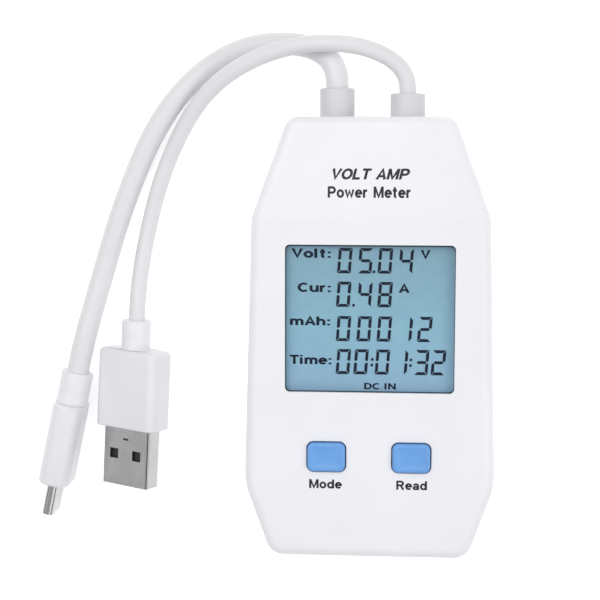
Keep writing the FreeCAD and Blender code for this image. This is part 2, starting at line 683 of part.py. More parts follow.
def free_cord(node, route, diameter_alias):
    diameter = size(diameter_alias)
    solid, length, radii = tube(route, diameter)
    expected = math.pi * diameter ** 2 / 4 * length
    print(f"{node}: length {length:.1f}, volume {solid.Volume:.0f} against {expected:.0f}, "
          f"radii {[round(radius, 1) for radius in radii]}")
    cord = document.addObject("Part::Feature", node)
    cord.Shape = solid
    keep(cord, node)


def gland(node, side, reach):
    """A sleeve moulded on the cord, held by a collar behind the case's wall."""
    body = new_body(node)
    sleeve = sketch_on(body, node + "_sleeve")
    circle(sleeve, "dim.gland_radius")
    pad(body, sleeve, f"{reach} + dim.wall")
    tip = size(f"{reach} + dim.wall")
    round_edges(body, "dim.gland_edge", lambda edge: is_level_at(edge, tip))
    collar = sketch_on(body, node + "_collar")
    circle(collar, "dim.collar_radius")
    pad(body, collar, "dim.collar_thick", reverse=True)
    body.Placement.Rotation = FreeCAD.Rotation(vector(1, 0, 0), -90)
    place(body, f"{side} * dim.gland_x", "dim.case_length / 2 - dim.wall", "dim.part_line")


def lead_inside(letter, side):
    """The end of the jacket inside the case and its four cores, soldered to the board."""
    x = f"{side} * dim.gland_x"
    inner_end = "dim.case_length / 2 - dim.wall - dim.collar_thick - dim.tail_length"
    tail = cylinder_along_y(f"cord_{letter}_tail", f"dim.cord_{letter}_diameter / 2",
                            "dim.tail_length", x, inner_end, "dim.part_line")
    keep(tail, tail.Name)
    cores = []
    for position in (-1.5, -0.5, 0.5, 1.5):
        core_x = size(f"{x} + {position} * dim.core_pitch")
        start, bend = size(inner_end), size(f"{inner_end} - dim.core_run")
        height, low = size("dim.part_line"), size("dim.board_top")
        route = [(core_x, start, height), (core_x, bend, height), (core_x, bend, low)]
        cores.append(tube(route, size("dim.core_diameter"))[0])
    wires = document.addObject("Part::Feature", f"cord_{letter}_wires")
    wires.Shape = Part.makeCompound(cores)
    keep(wires, wires.Name)


def plug_placement(route, neck, normal):
    """Where a plug's grip starts and how it lies: Z to the tip, Y out of its wide face."""
    end = vector(*route[-1])
    ahead = (end - vector(*route[-2])).normalize()
    across = normal.cross(ahead)
    turn = FreeCAD.Rotation(across, normal, ahead, "ZXY")
    return FreeCAD.Placement(end + ahead * size(neck), turn)


def grip(letter):
    """The moulded grip with its round neck, in the plug's own frame."""
    size_of = f"dim.plug_{letter}_"
    body = new_body(f"plug_{letter}_grip")
    block = sketch_on(body, f"grip_{letter}_block")
    rectangle(block, size_of + "width", size_of + "thick")
    pad(body, block, size_of + "length")
    round_edges(body, size_of + "round", is_upright)
    far_end = size(size_of + "length")
    round_edges(body, size_of + "edge",
                lambda edge: is_level_at(edge, 0) or is_level_at(edge, far_end))
    neck = sketch_on(body, f"grip_{letter}_neck")
    circle(neck, size_of + "neck_radius")
    pad(body, neck, size_of + "neck", reverse=True)
    return body


def plug_c():
    """The oval plug: shell, insert with its slot, and contact strips inside the slot."""
    start = "dim.plug_c_length"
    shell = new_body("plug_c_shell")
    outline = sketch_on(shell, "shell_c_outline", offset=start)
    slot(outline, "dim.shell_c_width", "dim.shell_c_height")
    slot(outline, "dim.shell_c_width - 2 * dim.shell_c_thick",
         "dim.shell_c_height - 2 * dim.shell_c_thick")
    pad(shell, outline, "dim.shell_c_reach")
    insert = new_body("plug_c_insert")
    block = sketch_on(insert, "insert_c_outline", offset=start)
    inner_width = "dim.shell_c_width - 2 * dim.shell_c_thick"
    inner_height = "dim.shell_c_height - 2 * dim.shell_c_thick"
    slot(block, inner_width, inner_height)
    pad(insert, block, "dim.shell_c_reach - 0.2")
    mouth = sketch_on(insert, "insert_c_mouth", offset=f"{start} + dim.insert_c_base")
    slot(mouth, f"{inner_width} - 2 * dim.insert_c_wall", f"{inner_height} - 2 * dim.insert_c_wall")
    pocket(insert, mouth, "dim.shell_c_reach", reverse=True)
    side = f"({inner_height} - 2 * dim.insert_c_wall) / 2"
    contacts = []
    for column in range(8):
        for row, y in enumerate((f"{side} - 0.05", f"0.05 - {side}")):
            contacts.append(box(f"plug_c_contact{row}{column}", "0.3", "0.1", "4",
                                f"{0.6 * (column - 3.5)}", y, f"{start} + dim.insert_c_base"))
    strips = keep(group("plug_c_contacts", contacts), "plug_c_contacts")
    return shell, insert, strips


def plug_a():
    """The rectangular plug: shell with two latch windows, insert and four contacts."""
    start = "dim.plug_a_length"
    skin = "dim.shell_a_thick"
    shell = new_body("plug_a_shell")
    outline = sketch_on(shell, "shell_a_outline", offset=start)
    rectangle(outline, "dim.shell_a_width", "dim.shell_a_height")
    pad(shell, outline, "dim.shell_a_reach")
    round_edges(shell, "dim.shell_a_round", is_upright)
    hollow = sketch_on(shell, "shell_a_hollow", offset=start)
    inner_width, inner_height = f"dim.shell_a_width - 2 * {skin}", f"dim.shell_a_height - 2 * {skin}"
    rectangle(hollow, inner_width, inner_height)
    pocket(shell, hollow, "dim.shell_a_reach", reverse=True)
    windows = sketch_on(shell, "shell_a_windows", "XZ_Plane")
    for side in ("1", "-1"):
        rectangle(windows, "dim.latch_size", "dim.latch_size", f"{side} * dim.latch_x",
                  f"({start} + dim.latch_z)")
    pocket(shell, windows, "2 * dim.shell_a_height", both_ways=True)
    insert_y = f"dim.insert_a_thick / 2 - ({inner_height}) / 2"
    insert = keep(box("plug_a_insert", inner_width, "dim.insert_a_thick",
                      "dim.shell_a_reach - dim.insert_a_short", y=insert_y, z=start),
                  "plug_a_insert")
    contacts = [box(f"plug_a_contact{number}", "1.2", "dim.contact_thick",
                    "dim.shell_a_reach - 4 * dim.insert_a_short", x,
                    f"{insert_y} + (dim.insert_a_thick + dim.contact_thick) / 2", start)
                for number, x in enumerate(("-3.5", "-1.1", "1.1", "3.5"))]
    return shell, insert, keep(group("plug_a_contacts", contacts), "plug_a_contacts")


def lay(pieces, placement):
    """Move a plug's pieces from the plug's own frame to where the plug lies."""
    document.recompute()
    for piece in pieces:
        own = FreeCAD.Placement(piece.Placement)
        for axis in "xyz":
            piece.setExpression("Placement.Base." + axis, None)
        piece.Placement = placement.multiply(own)


def leads():
    gland("gland_c", "-1", "dim.gland_c_reach")
    gland("gland_a", "1", "dim.gland_a_reach")
    lead_inside("c", "-1")
    lead_inside("a", "1")
    free_cord("cord_c", CORD_C_ROUTE, "dim.cord_c_diameter")
    free_cord("cord_a", CORD_A_ROUTE, "dim.cord_a_diameter")
    # The oval plug stands on its narrow side; the rectangular one leans on a lower edge.
    side_on = plug_placement(CORD_C_ROUTE, "dim.plug_c_neck", vector(1, 0, 0))
    lay([grip("c"), *plug_c()], side_on)
    tilt = math.radians(PLUG_A_TILT)
    leaning = plug_placement(CORD_A_ROUTE, "dim.plug_a_neck", vector(-math.sin(tilt), 0, math.cos(tilt)))
    lay([grip("a"), *plug_a()], leaning)


# --- checks and files ---------------------------------------------------------------------

def check_model():
    document.recompute()
    for item in document.Objects:
        if "Invalid" in item.State or "Error" in item.State:
            raise RuntimeError(f"{item.Name} failed: {item.State}")
    for item in nodes:
        if item.Shape.isNull() or not item.Shape.isValid() or not item.Shape.Solids:
            raise RuntimeError(f"{item.Label} has no valid solid")


def write_files():
    os.makedirs("parts", exist_ok=True)
    for item in nodes:
        item.Shape.exportStep(f"parts/{item.Label}.step")
    print(len(nodes), "nodes")


fill_sheet()
rear_cover()
front_cover()
cover_screws()
display()
circuit_board()
board_parts()
press_key("mode", "-1")
press_key("read", "1")
wide_socket()
narrow_socket()
leads()
check_model()
write_files()
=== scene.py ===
import math
from collections import namedtuple

import bmesh
import bpy
from mathutils import Matrix, Vector


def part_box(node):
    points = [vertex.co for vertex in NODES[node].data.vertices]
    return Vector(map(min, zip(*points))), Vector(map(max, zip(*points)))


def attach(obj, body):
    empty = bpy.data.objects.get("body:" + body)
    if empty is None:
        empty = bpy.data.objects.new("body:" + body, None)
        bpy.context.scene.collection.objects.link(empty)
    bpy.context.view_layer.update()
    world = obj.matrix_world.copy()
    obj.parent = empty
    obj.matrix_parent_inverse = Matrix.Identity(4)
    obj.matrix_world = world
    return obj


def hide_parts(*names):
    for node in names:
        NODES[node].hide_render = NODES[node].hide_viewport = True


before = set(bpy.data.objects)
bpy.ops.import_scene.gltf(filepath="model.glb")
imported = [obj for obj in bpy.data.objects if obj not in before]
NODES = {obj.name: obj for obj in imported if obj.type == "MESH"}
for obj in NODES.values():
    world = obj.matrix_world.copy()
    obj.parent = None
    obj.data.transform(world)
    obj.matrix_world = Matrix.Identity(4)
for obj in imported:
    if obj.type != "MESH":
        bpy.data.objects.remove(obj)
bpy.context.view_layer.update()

# Looks of a hand-held power meter with two captive leads. Metres, in the frame of the part:
# X across the case, Y towards the end that the leads leave, Z out of the display.

MM = 0.001

# Camera: a 90 mm lens, almost straight above, leaning a little to the right and up.
VIEW_TARGET = Vector((-15.11, 7.44, 11.0)) * MM
VIEW_DISTANCE = 319.83 * MM
VIEW_LEAN_X = math.radians(4.2)
VIEW_LEAN_Y = math.radians(6.4)
VIEW_ROLL = math.radians(0.1)

# Free cords: the route's points from the gland's mouth to the plug's neck.
CORD_C_ROUTE = [
    (-0.0074, 0.0522, 0.0095), (-0.0074, 0.0548, 0.0095), (-0.0085, 0.0577, 0.0087),
    (-0.0109, 0.0600, 0.0073), (-0.0146, 0.0614, 0.0057), (-0.0193, 0.0619, 0.0044),
    (-0.0250, 0.0616, 0.0034), (-0.0316, 0.0594, 0.0027), (-0.0378, 0.0553, 0.0024),
    (-0.0432, 0.0498, 0.0024), (-0.0479, 0.0427, 0.0024), (-0.0522, 0.0332, 0.0024),
    (-0.0561, 0.0226, 0.0024), (-0.0592, 0.0121, 0.0027), (-0.0617, 0.0028, 0.0045),
    (-0.0635, -0.0046, 0.0060), (-0.0645, -0.0094, 0.0060),
]
CORD_A_ROUTE = [
    (0.0074, 0.0511, 0.0095), (0.0074, 0.0535, 0.0095), (0.0063, 0.0560, 0.0100),
    (0.0041, 0.0581, 0.0108), (0.0010, 0.0597, 0.0116), (-0.0030, 0.0609, 0.0122),
    (-0.0078, 0.0615, 0.0124), (-0.0131, 0.0614, 0.0120), (-0.0191, 0.0604, 0.0110),
    (-0.0253, 0.0583, 0.0092), (-0.0315, 0.0549, 0.0072), (-0.0367, 0.0503, 0.0052),
    (-0.0408, 0.0445, 0.0034), (-0.0442, 0.0379, 0.0022), (-0.0470, 0.0306, 0.0018),
    (-0.0491, 0.0222, 0.0022), (-0.0504, 0.0140, 0.0043), (-0.05095, 0.0070, 0.0063),
    (-0.0512, 0.0022, 0.0063),
]
CORD_C_DIAMETER = 4.8 * MM
CORD_A_DIAMETER = 3.6 * MM

# Plug grips, in millimetres: a round neck, then a block whose edges are rounded all round, with a
# radius of their own at the shoulders by the neck and at the rim by the shell.
Grip = namedtuple("Grip", "neck neck_radius width thick length corner shoulder rim")
GRIP_C = Grip(neck=7.0, neck_radius=3.5, width=12.0, thick=6.8, length=18.2, corner=3.0,
              shoulder=0.7, rim=0.7)
GRIP_A = Grip(neck=6.4, neck_radius=3.2, width=15.4, thick=7.8, length=17.3, corner=1.9,
              shoulder=1.2, rim=0.45)
GRIP_MIN_CORNER = 0.4 * MM
ROUNDING_STEPS = 12
PLUG_A_ROLL = math.radians(26)

# Steel shell of the A plug, and what shows on its upper face, at distances from the grip.
SHELL_LENGTH = 12.9 * MM
SHELL_WIDTH = 12.0 * MM
SHELL_THICK = 4.5 * MM
SHELL_CORNER = 0.6 * MM
# The slot and each plate of painted shade under a latch window: width, length and corner radius.
# Such a plate lies between two heights over the plug's axis.
SLOT_DISTANCE = 2.6 * MM
SLOT_SIZES = (1.5 * MM, 0.45 * MM, 0.2 * MM)
WINDOW_SHADE_DISTANCE = 6.0 * MM
WINDOW_SHADE_OFFSET = 3.0 * MM
WINDOW_SHADE_SIZES = (3.0 * MM, 3.4 * MM, 0.3 * MM)
WINDOW_SHADE_HEIGHTS = (1.15 * MM, 1.3 * MM)

# Front face: level up to the shoulders, then sloping down to the top end.
SHOULDER_Y = 25.4 * MM
RAMP_DROP = 1.5 * MM
PRINT_THICKNESS = 0.03 * MM

# Display window: its border, and how the dark ring of painted shade under the lens fits in the opening.
WINDOW_BORDER = 0.8 * MM
WINDOW_SHADOW_CLEARANCE = 0.2 * MM
WINDOW_SHADOW_SHIFT = -0.2 * MM
WINDOW_SHADOW_TRIM = 0.25 * MM
WINDOW_SHADOW_CORNERS = (0.8 * MM, 0.9 * MM)

# Button caps: a flange below, a rounded rim, and a dish given as pairs of inset and drop.
BUTTON_FLANGE = 0.9 * MM
BUTTON_FLANGE_HEIGHT = 1.0 * MM
BUTTON_CORNER = 1.3 * MM
BUTTON_MIN_CORNER = 0.25 * MM
BUTTON_RIM = 0.55 * MM
BUTTON_DISH = [(0.85, 0.03), (1.15, 0.11), (1.6, 0.2), (2.2, 0.26), (2.7, 0.28)]

FLOOR_HALF = 3.0
FLOOR_DROP = 0.05 * MM


# --- camera -------------------------------------------------------------------------------

def make_camera():
    back = Vector((math.tan(VIEW_LEAN_X), math.tan(VIEW_LEAN_Y), 1.0)).normalized()
    right = Vector((0, 1, 0)).cross(back).normalized()
    up = back.cross(right)
    data = bpy.data.cameras.new("camera")
    data.lens = 90
    data.sensor_width = 36
    data.clip_start = 0.01
    camera = bpy.data.objects.new("camera", data)
    turn = Matrix((right, up, back)).transposed().to_4x4() @ Matrix.Rotation(VIEW_ROLL, 4, "Z")
    camera.matrix_world = Matrix.Translation(VIEW_TARGET + back * VIEW_DISTANCE) @ turn
    bpy.context.scene.collection.objects.link(camera)
    bpy.context.scene.camera = camera


# --- materials ----------------------------------------------------------------------------

# The Mix node has a socket of the same name for each kind of data. These are its colour ones.
MIX_COLOUR_A, MIX_COLOUR_B, MIX_COLOUR_RESULT = 6, 7, 2


def srgb(red, green, blue):
    """A colour given as 0 to 255 screen values, as the linear values that a shader takes."""
    def linear(value):
        share = value / 255
        return share / 12.92 if share <= 0.04045 else ((share + 0.055) / 1.055) ** 2.4
    return (linear(red), linear(green), linear(blue), 1.0)


def shaded(colour, factor):
    return tuple(min(1.0, part * factor) for part in colour[:3]) + (1.0,)


def fill_ramp(ramp, stops):
    """Gives a colour ramp its stops, as pairs of position and colour."""
    while len(ramp.elements) < len(stops):
        ramp.elements.new(0.5)
    for element, (position, colour) in zip(ramp.elements, stops):
        element.position = position
        element.color = colour


class Finish:
    """A Principled material whose colour, roughness and surface all vary over the piece."""

    def __init__(self, name, colour, roughness, metallic=0.0):
        self.material = bpy.data.materials.new(name)
        self.material.use_nodes = True
        self.tree = self.material.node_tree
        self.shader = self.tree.nodes["Principled BSDF"]
        self.shader.inputs["Metallic"].default_value = metallic
        self.shader.inputs["Roughness"].default_value = roughness
        self.roughness = roughness
        self.colour = colour
        self.place = self.tree.nodes.new("ShaderNodeTexCoord").outputs["Object"]
        self.normal = None

    def new(self, kind, **properties):
        node = self.tree.nodes.new(kind)
        for key, value in properties.items():
            setattr(node, key, value)
        return node

    def link(self, source, target):
        self.tree.links.new(source, target)

    def stretched(self, x, y, z):
        """The place on the piece, with each axis stretched by its own number."""
        node = self.new("ShaderNodeMapping")
        node.inputs["Scale"].default_value = (x, y, z)
        self.link(self.place, node.inputs["Vector"])
        return node.outputs["Vector"]

    def noise(self, size, detail=3.0, vector=None):
        """Noise whose patches are about size metres across."""
        node = self.new("ShaderNodeTexNoise")
        node.inputs["Scale"].default_value = 1.0 / size
        node.inputs["Detail"].default_value = detail
        self.link(vector or self.place, node.inputs["Vector"])
        return node.outputs["Fac"]

    def ramp(self, factor, stops):
        """Colours along a factor, given as pairs of position and colour."""
        node = self.new("ShaderNodeValToRGB")
        fill_ramp(node.color_ramp, stops)
        self.link(factor, node.inputs["Fac"])
        return node.outputs["Color"]

    def mottled(self, size, spread):
        """Base colour that wanders a little to each side of the material's own."""
        colour = self.ramp(self.noise(size), [(0.35, shaded(self.colour, 1 - spread)),
                                              (0.65, shaded(self.colour, 1 + spread))])
        self.link(colour, self.shader.inputs["Base Color"])
        return self

    def uneven_gloss(self, size, spread, vector=None):
        node = self.new("ShaderNodeMapRange")
        node.inputs["From Min"].default_value = 0.3
        node.inputs["From Max"].default_value = 0.7
        node.inputs["To Min"].default_value = max(0.02, self.roughness - spread)
        node.inputs["To Max"].default_value = self.roughness + spread
        self.link(self.noise(size, vector=vector), node.inputs["Value"])
        self.link(node.outputs["Result"], self.shader.inputs["Roughness"])
        return self

    def bumpy(self, height_field, depth):
        """Adds relief of depth metres to what the surface already has."""
        node = self.new("ShaderNodeBump")
        node.inputs["Distance"].default_value = depth
        self.link(height_field, node.inputs["Height"])
        if self.normal:
            self.link(self.normal, node.inputs["Normal"])
        self.normal = node.outputs["Normal"]
        self.link(self.normal, self.shader.inputs["Normal"])
        return self

    def grain(self, size, depth):
        return self.bumpy(self.noise(size, detail=2.0), depth)

    def brushed(self, size, depth, x, y, z):
        """Fine lines, long along the axis with the smallest number."""
        lines = self.noise(size, detail=4.0, vector=self.stretched(x, y, z))
        return self.bumpy(lines, depth)

    def set(self, **sockets):
        """Values for sockets of the shader, each named in lower case with underscores."""
        for key, value in sockets.items():
            socket = key.replace("_", " ").title().replace("Ior", "IOR")
            self.shader.inputs[socket].default_value = value
        return self


def moulded(name, colour, roughness, grain_size=0.35 * MM, depth=0.008 * MM, mottle=0.012):
    """Injection-moulded plastic: a faint spark-eroded grain, flow patches and uneven gloss."""
    finish = Finish(name, colour, roughness)
    finish.mottled(14 * MM, mottle).uneven_gloss(3 * MM, 0.06)
    finish.grain(grain_size, depth).grain(9 * MM, 0.05 * MM)
    return finish


def metal(name, colour, roughness, stretch=(1.0, 1.0, 1.0), size=0.12 * MM, depth=0.0008 * MM):
    finish = Finish(name, colour, roughness, metallic=1.0)
    finish.mottled(6 * MM, 0.03).uneven_gloss(2.5 * MM, 0.04)
    finish.brushed(size, depth, *stretch)
    return finish


def lcd_finish():
    """Blue-grey liquid crystal cell: colour that darkens from bottom to top, rubbing lines and a fine weave.
    """
    low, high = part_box("lcd_glass")
    finish = Finish("lcd_cell", srgb(129, 176, 200), 0.4)
    split = finish.new("ShaderNodeSeparateXYZ")
    finish.link(finish.place, split.inputs["Vector"])
    height = finish.new("ShaderNodeMapRange")
    height.inputs["From Min"].default_value = low.y
    height.inputs["From Max"].default_value = high.y
    finish.link(split.outputs["Y"], height.inputs["Value"])
    tint = finish.ramp(height.outputs["Result"], [
        (0.0, srgb(152, 188, 216)), (0.45, srgb(146, 194, 212)), (1.0, srgb(134, 172, 188))])
    patches = finish.ramp(finish.noise(2.2 * MM, detail=5.0), [
        (0.3, (0.90, 0.92, 0.97, 1)), (0.7, (1.0, 1.0, 1.0, 1))])
    blend = finish.new("ShaderNodeMix", data_type="RGBA", blend_type="MULTIPLY")
    blend.inputs["Factor"].default_value = 1.0
    finish.link(tint, blend.inputs[MIX_COLOUR_A])
    finish.link(patches, blend.inputs[MIX_COLOUR_B])
    finish.link(blend.outputs[MIX_COLOUR_RESULT], finish.shader.inputs["Base Color"])
    finish.uneven_gloss(1.5 * MM, 0.05)
    finish.brushed(0.1 * MM, 0.001 * MM, 1.0, 0.05, 1.0)
    return finish


def make_materials():
    """One finish for each material slot of the record, and those of the added pieces."""
    off_white = srgb(229, 229, 233)
    jacket_white = srgb(216, 216, 218)
    finishes = {
        "case_plastic": moulded("case_plastic", off_white, 0.46),
        "button_plastic": moulded("button_plastic", srgb(101, 157, 219), 0.4, depth=0.004 * MM, mottle=0.03),
        "lcd": lcd_finish(),
        "light_guide": moulded("light_guide", srgb(235, 240, 240), 0.25, depth=0.002 * MM),
        "led": moulded("led", srgb(238, 232, 190), 0.3),
        "inner_plastic": moulded("inner_plastic", srgb(212, 212, 214), 0.5),
        "elastomer": moulded("elastomer", srgb(60, 62, 66), 0.7, grain_size=0.15 * MM),
        "board": moulded("board", srgb(28, 92, 58), 0.38, grain_size=0.5 * MM, mottle=0.08),
        "chip": moulded("chip", srgb(34, 34, 37), 0.55, grain_size=0.1 * MM, mottle=0.05),
        "can": metal("can", (0.62, 0.63, 0.65, 1), 0.32, (1.0, 1.0, 0.05)),
        "crystal_can": metal("crystal_can", (0.70, 0.69, 0.66, 1), 0.26),
        "ceramic": moulded("ceramic", srgb(171, 150, 122), 0.6, grain_size=0.08 * MM, mottle=0.1),
        "shunt": metal("shunt", (0.45, 0.42, 0.38, 1), 0.4, (1.0, 0.05, 1.0)),
        "switch_black": moulded("switch_black", srgb(40, 40, 43), 0.5),
        "switch_stem": moulded("switch_stem", srgb(56, 56, 60), 0.42),
        "screw_steel": metal("screw_steel", (0.56, 0.56, 0.58, 1), 0.3, (1.0, 1.0, 0.2)),
        "shell_steel": metal("shell_steel", (0.50, 0.495, 0.49, 1), 0.22, (1.0, 0.03, 1.0)),
        # The gold is darker than plated gold, as painted shade for the contacts seen inside the plug's
        # windows.
        "contact_gold": metal("contact_gold", (0.52, 0.39, 0.19, 1), 0.3, (1.0, 0.05, 1.0)),
        "insert_black": moulded("insert_black", srgb(38, 38, 41), 0.5),
        "insert_white": moulded("insert_white", srgb(222, 222, 218), 0.45),
        "sleeve": moulded("sleeve", srgb(204, 204, 208), 0.5, grain_size=0.3 * MM),
        "cord_jacket": moulded("cord_jacket", jacket_white, 0.48, grain_size=0.22 * MM, depth=0.012 * MM),
        "grip_plastic": moulded("grip_plastic", srgb(222, 222, 226), 0.4, depth=0.006 * MM),
        "core_wire": moulded("core_wire", srgb(190, 60, 52), 0.45, mottle=0.1),
        "ink": moulded("ink", srgb(22, 22, 28), 0.55, grain_size=0.12 * MM, depth=0.004 * MM, mottle=0.1),
        "segment": moulded("segment", srgb(8, 16, 42), 0.6, grain_size=0.1 * MM, depth=0.002 * MM,
                           mottle=0.12),
        # Dark blue-grey for the ring of painted shade under the display's lens.
        "window_shadow_ring": moulded("window_shadow_ring", srgb(58, 78, 96), 0.7, grain_size=0.15 * MM),
        "shadow_gap": moulded("shadow_gap", srgb(44, 44, 47), 0.6),
        "floor": moulded("floor", srgb(250, 250, 250), 0.75, grain_size=3 * MM, depth=0.01 * MM,
                         mottle=0.004),
    }
    lens = moulded("lens", srgb(70, 82, 90), 0.06, grain_size=1.5 * MM, depth=0.001 * MM)
    lens.set(alpha=0.07)
    finishes["lens"] = lens
    finishes["segment"].set(specular_ior_level=0.15)
    finishes["button_plastic"].set(coat_weight=0.15, coat_roughness=0.25)
    # The cell gets a faint glow of painted light, though its backlight is off.
    finishes["lcd"].set(emission_color=srgb(128, 176, 202), emission_strength=0.05)
    finishes["floor"].set(emission_color=(1, 1, 1, 1), emission_strength=0.4)
    return {slot: finish.material for slot, finish in finishes.items()}


def dress_cad_nodes(materials):
    """Each CAD node takes the finish of the slot that the record gives it."""
    for node in NODES.values():
        for material_slot in node.material_slots:
            material_slot.material = materials[material_slot.material.name]


# --- mesh helpers -------------------------------------------------------------------------

# Half of the straight side that even a full rounding leaves, so that no two points meet.
HALF_SIDE_LEFT = 0.001 * MM


def add_piece(name, mesh, material, body="case"):
    mesh.materials.clear()
    mesh.materials.append(material)
    piece = bpy.data.objects.new(name, mesh)
    bpy.context.scene.collection.objects.link(piece)
    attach(piece, body)
    return piece


def rounded_rectangle(width, height, radius, steps=8):
    """Points round a rectangle centred on the origin, corner by corner, anticlockwise."""
    radius = min(radius, width / 2 - HALF_SIDE_LEFT, height / 2 - HALF_SIDE_LEFT)
    points = []
    for quarter, (side_x, side_y) in enumerate(((1, 1), (-1, 1), (-1, -1), (1, -1))):
        centre_x, centre_y = side_x * (width / 2 - radius), side_y * (height / 2 - radius)
        for step in range(steps + 1):
            angle = math.radians(90) * (quarter + step / steps)
            points.append((centre_x + radius * math.cos(angle), centre_y + radius * math.sin(angle)))
    return points


def skin(build, loops, closed=False):
    """Quads from each loop of vertices to the next, and from the last to the first if closed."""
    followers = loops[1:] + loops[:1] if closed else loops[1:]
    for lower, upper in zip(loops, followers):
        for index in range(len(lower)):
            beside = (index + 1) % len(lower)
            build.faces.new((lower[index], lower[beside], upper[beside], upper[index]))


def add_solid(build, rings):
    """A closed skin over rings of equal numbers of points, with a face over each end."""
    loops = [[build.verts.new(point) for point in ring] for ring in rings]
    build.faces.new(loops[0])
    build.faces.new(loops[-1])
    skin(build, loops)


def solid_mesh(name, solids, sharp_angle=40):
    """A mesh of closed solids, each given by its rings."""
    build = bmesh.new()
    for rings in solids:
        add_solid(build, rings)
    return finish_mesh(name, build, sharp_angle)


def finish_mesh(name, build, sharp_angle=40):
    bmesh.ops.recalc_face_normals(build, faces=build.faces)
    mesh = bpy.data.meshes.new(name)
    build.to_mesh(mesh)
    build.free()
    for face in mesh.polygons:
        face.use_smooth = True
    mesh.set_sharp_from_angle(angle=math.radians(sharp_angle))
    return mesh


def plates(name, outlines, low, high):
    """Flat closed plates with the given outlines, between two heights."""
    return solid_mesh(name, [[[(x, y, height) for x, y in outline] for height in (low, high)]
                             for outline in outlines])


def arc(centre_x, centre_y, radius_x, radius_y, start, end):
    """Points along part of an ellipse, with angles in degrees."""
    steps = max(6, round(abs(end - start) / 15))
    angles = [math.radians(start + (end - start) * step / steps) for step in range(steps + 1)]
    return [(centre_x + radius_x * math.cos(angle), centre_y + radius_y * math.sin(angle))
            for angle in angles]


# Letters as centre lines of strokes, on a capital's height of 1: first how wide the letter is,
# then its strokes.
STEM = [(0.1, 0), (0.1, 1)]
SHORT_STEM = [(0.1, 0), (0.1, 0.73)]
LETTERS = {
    "V": (0.78, [[(0.08, 1), (0.39, 0.1), (0.70, 1)]]),
    "O": (0.86, [arc(0.43, 0.5, 0.34, 0.41, 0, 360)]),
    "L": (0.62, [[(0.1, 1), (0.1, 0.09), (0.6, 0.09)]]),
    "T": (0.72, [[(0.0, 0.91), (0.7, 0.91)], [(0.35, 0.91), (0.35, 0)]]),
    "A": (0.80, [[(0.08, 0), (0.40, 0.93), (0.72, 0)], [(0.2, 0.30), (0.6, 0.30)]]),
    "M": (0.94, [STEM, [(0.12, 0.96), (0.46, 0.1), (0.80, 0.96)], [(0.82, 1), (0.82, 0)]]),
    "P": (0.76, [STEM, [(0.1, 0.91), (0.42, 0.91)] + arc(0.42, 0.68, 0.22, 0.23, 90, -90) + [(0.1, 0.45)]]),
    "R": (0.82, [STEM, [(0.1, 0.91), (0.44, 0.91)] + arc(0.44, 0.7, 0.22, 0.21, 90, -90) + [(0.1, 0.49)],
                 [(0.42, 0.49), (0.70, 0)]]),
    "C": (0.82, [arc(0.44, 0.5, 0.34, 0.41, 48, 312)]),
    "D": (0.82, [[(0.1, 0.09), (0.1, 0.91), (0.36, 0.91)] + arc(0.36, 0.5, 0.36, 0.41, 90, -90)
                 + [(0.1, 0.09)]]),
    "I": (0.32, [STEM]),
    "N": (0.84, [STEM, [(0.12, 0.93), (0.70, 0.07)], [(0.72, 0), (0.72, 1)]]),
    "a": (0.66, [arc(0.32, 0.45, 0.21, 0.19, 165, 0) + [(0.53, 0)], arc(0.3, 0.21, 0.21, 0.14, 0, 360)]),
    "d": (0.70, [arc(0.33, 0.365, 0.235, 0.28, 0, 360), [(0.58, 0), (0.58, 1)]]),
    "e": (0.66, [[(0.1, 0.38), (0.57, 0.38)] + arc(0.33, 0.365, 0.24, 0.28, 6, 318)]),
    "h": (0.68, [STEM, arc(0.33, 0.41, 0.23, 0.235, 180, 0) + [(0.56, 0)]]),
    "i": (0.30, [SHORT_STEM, [(0.1, 0.84), (0.1, 1)]]),
    "l": (0.30, [STEM]),
    "m": (1.02, [SHORT_STEM, arc(0.3, 0.44, 0.2, 0.2, 180, 0) + [(0.5, 0)],
                 arc(0.7, 0.44, 0.2, 0.2, 180, 0) + [(0.9, 0)]]),
    "o": (0.68, [arc(0.33, 0.365, 0.24, 0.28, 0, 360)]),
    "r": (0.48, [SHORT_STEM, arc(0.34, 0.38, 0.24, 0.26, 180, 78)]),
    "t": (0.46, [[(0.2, 0.95), (0.2, 0.22)] + arc(0.31, 0.21, 0.11, 0.13, 180, 285),
                 [(0.02, 0.65), (0.40, 0.65)]]),
    "u": (0.68, [[(0.1, 0.73), (0.1, 0.32)] + arc(0.32, 0.32, 0.22, 0.235, 180, 350),
                 [(0.56, 0.73), (0.56, 0)]]),
    "w": (0.86, [[(0.07, 0.73), (0.24, 0.09), (0.42, 0.60), (0.60, 0.09), (0.77, 0.73)]]),
    ":": (0.34, [[(0.15, 0), (0.15, 0.19)], [(0.15, 0.5), (0.15, 0.69)]]),
    " ": (0.36, []),
}
LETTER_SPACE = 0.07
# How far a stroke's corner may reach, in half widths of the stroke.
MITRE_LIMIT = 1.7
SHARPEST_COSINE = 0.2
# Each stroke of a letter is a little thicker than the one before, so no two tops share a plane.
STROKE_LAYER = 0.02
SAME_PLACE = 1e-6


def stroke_sides(path, half):
    """Points to the left and right of a path, mitred at its corners."""
    points = [Vector(path[0])]
    for point in path[1:]:
        if (Vector(point) - points[-1]).length > SAME_PLACE:
            points.append(Vector(point))
    closed = (points[0] - points[-1]).length < SAME_PLACE
    if closed:
        points.pop()
    count = len(points)
    left, right = [], []
    for index, point in enumerate(points):
        before = points[index - 1] if index or closed else None
        after = points[(index + 1) % count] if index < count - 1 or closed else None
        arriving = (point - before).normalized() if before else (after - point).normalized()
        leaving = (after - point).normalized() if after else arriving
        along = (arriving + leaving).normalized()
        reach = half * min(MITRE_LIMIT, 1 / max(SHARPEST_COSINE, along.dot(leaving)))
        side = Vector((-along.y, along.x)) * reach
        left.append(point + side)
        right.append(point - side)
    return left, right, closed


